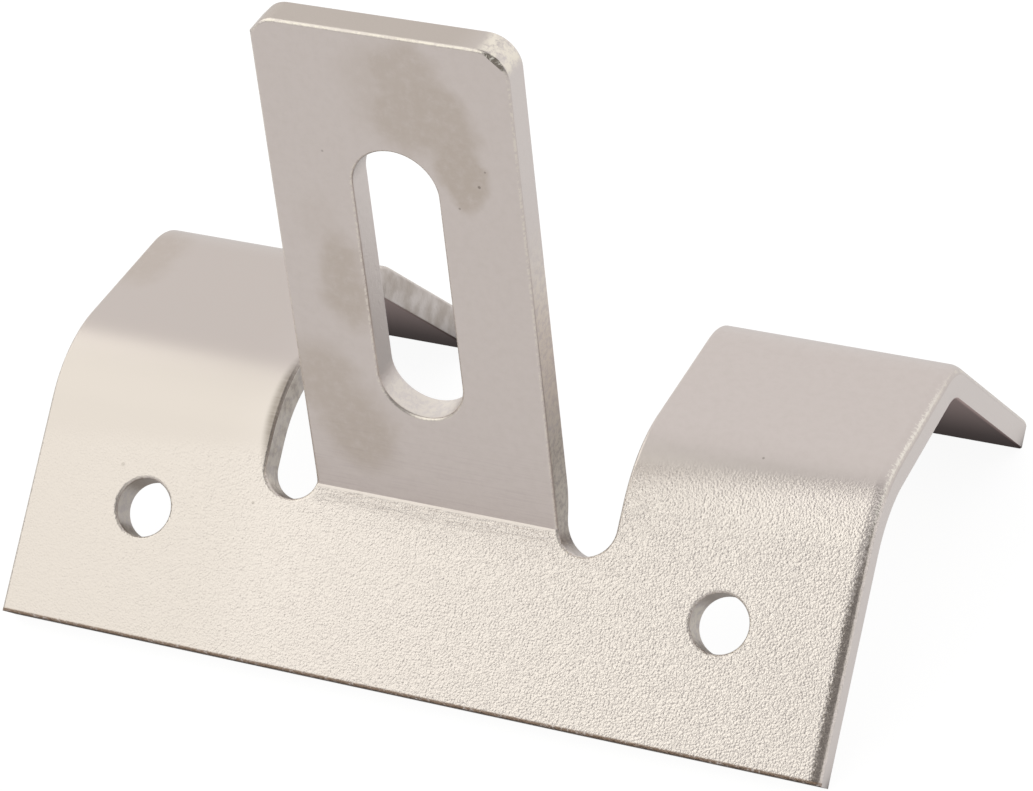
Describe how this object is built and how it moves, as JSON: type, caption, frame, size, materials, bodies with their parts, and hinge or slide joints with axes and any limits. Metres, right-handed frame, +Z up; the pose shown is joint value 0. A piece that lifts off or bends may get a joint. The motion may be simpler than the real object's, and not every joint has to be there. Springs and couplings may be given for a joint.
{
  "type": "solar roof hook",
  "caption": "Folded stainless roof hook that straddles a trapezoidal roof rib, with screw holes in its front flange and an upright slotted tab for a mounting rail.",
  "frame": {"origin": "on the plane that the hook's two long lower edges rest on, under the middle of its bounding box", "axes": "+X along the bend lines, +Y from the screwed front flange towards the back panels, +Z up along the tab"},
  "size_m": [0.105, 0.0762, 0.0838],
  "materials": {
    "stainless_sheet": "mill-finish stainless sheet, smooth and grey on the tab and the tops, with a fine leathery grain on the front flange"
  },
  "bodies": {
    "root": {"roof_hook": "stainless_sheet"}
  },
  "joints": []
}
